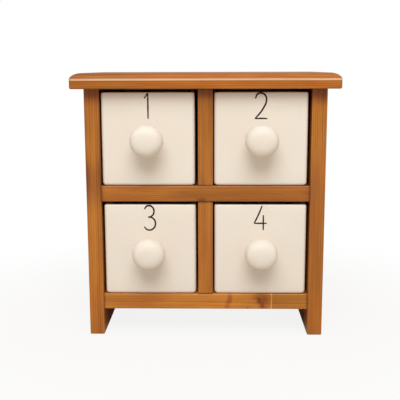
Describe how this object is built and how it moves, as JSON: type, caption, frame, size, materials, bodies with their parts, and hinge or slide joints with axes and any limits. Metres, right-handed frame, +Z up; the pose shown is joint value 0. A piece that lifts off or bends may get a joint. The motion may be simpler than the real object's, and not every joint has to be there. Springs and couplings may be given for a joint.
{
  "type": "spice drawer cabinet",
  "caption": "Small tabletop cabinet of pine boards with glazed ceramic drawers that slide out by round knobs, for spices or tea.",
  "frame": {"origin": "on the standing surface, under the middle of the whole object with its knobs", "axes": "+Z up, -Y the front that the drawers pull out of, +X to the viewer's right"},
  "size_m": [0.2642, 0.1714, 0.2683],
  "materials": {
    "pine": "honey-stained pine, satin varnish",
    "plywood": "stained thin plywood, matt",
    "beech": "bare turned dowel",
    "glazed_ceramic": "cream glaze, glossy",
    "knob_glaze": "cream glaze, glossy",
    "brass": "turned",
    "steel": "zinc plated"
  },
  "bodies": {
    "cabinet": {"top_board": "pine", "left_side": "pine", "right_side": "pine", "bottom_shelf": "pine", "middle_shelf": "pine", "lower_divider": "pine", "upper_divider": "pine", "back_panel": "plywood", "back_panel_pins": "steel", "shelf_dowels": "beech", "divider_dowels": "beech", "top_dowels": "beech"},
    "upper_left_drawer": {"drawer_upper_left": "glazed_ceramic", "knob_upper_left": "knob_glaze", "knob_insert_upper_left": "brass", "knob_screw_upper_left": "steel", "knob_washer_upper_left": "steel"},
    "upper_right_drawer": {"drawer_upper_right": "glazed_ceramic", "knob_upper_right": "knob_glaze", "knob_insert_upper_right": "brass", "knob_screw_upper_right": "steel", "knob_washer_upper_right": "steel"},
    "lower_left_drawer": {"drawer_lower_left": "glazed_ceramic", "knob_lower_left": "knob_glaze", "knob_insert_lower_left": "brass", "knob_screw_lower_left": "steel", "knob_washer_lower_left": "steel"},
    "lower_right_drawer": {"drawer_lower_right": "glazed_ceramic", "knob_lower_right": "knob_glaze", "knob_insert_lower_right": "brass", "knob_screw_lower_right": "steel", "knob_washer_lower_right": "steel"}
  },
  "joints": [
    {"name": "upper_left_slide", "type": "slide", "parent": "cabinet", "child": "upper_left_drawer", "axis": [0, -1, 0], "range_m": [0, 0.12]},
    {"name": "upper_right_slide", "type": "slide", "parent": "cabinet", "child": "upper_right_drawer", "axis": [0, -1, 0], "range_m": [0, 0.12]},
    {"name": "lower_left_slide", "type": "slide", "parent": "cabinet", "child": "lower_left_drawer", "axis": [0, -1, 0], "range_m": [0, 0.12]},
    {"name": "lower_right_slide", "type": "slide", "parent": "cabinet", "child": "lower_right_drawer", "axis": [0, -1, 0], "range_m": [0, 0.12]}
  ]
}
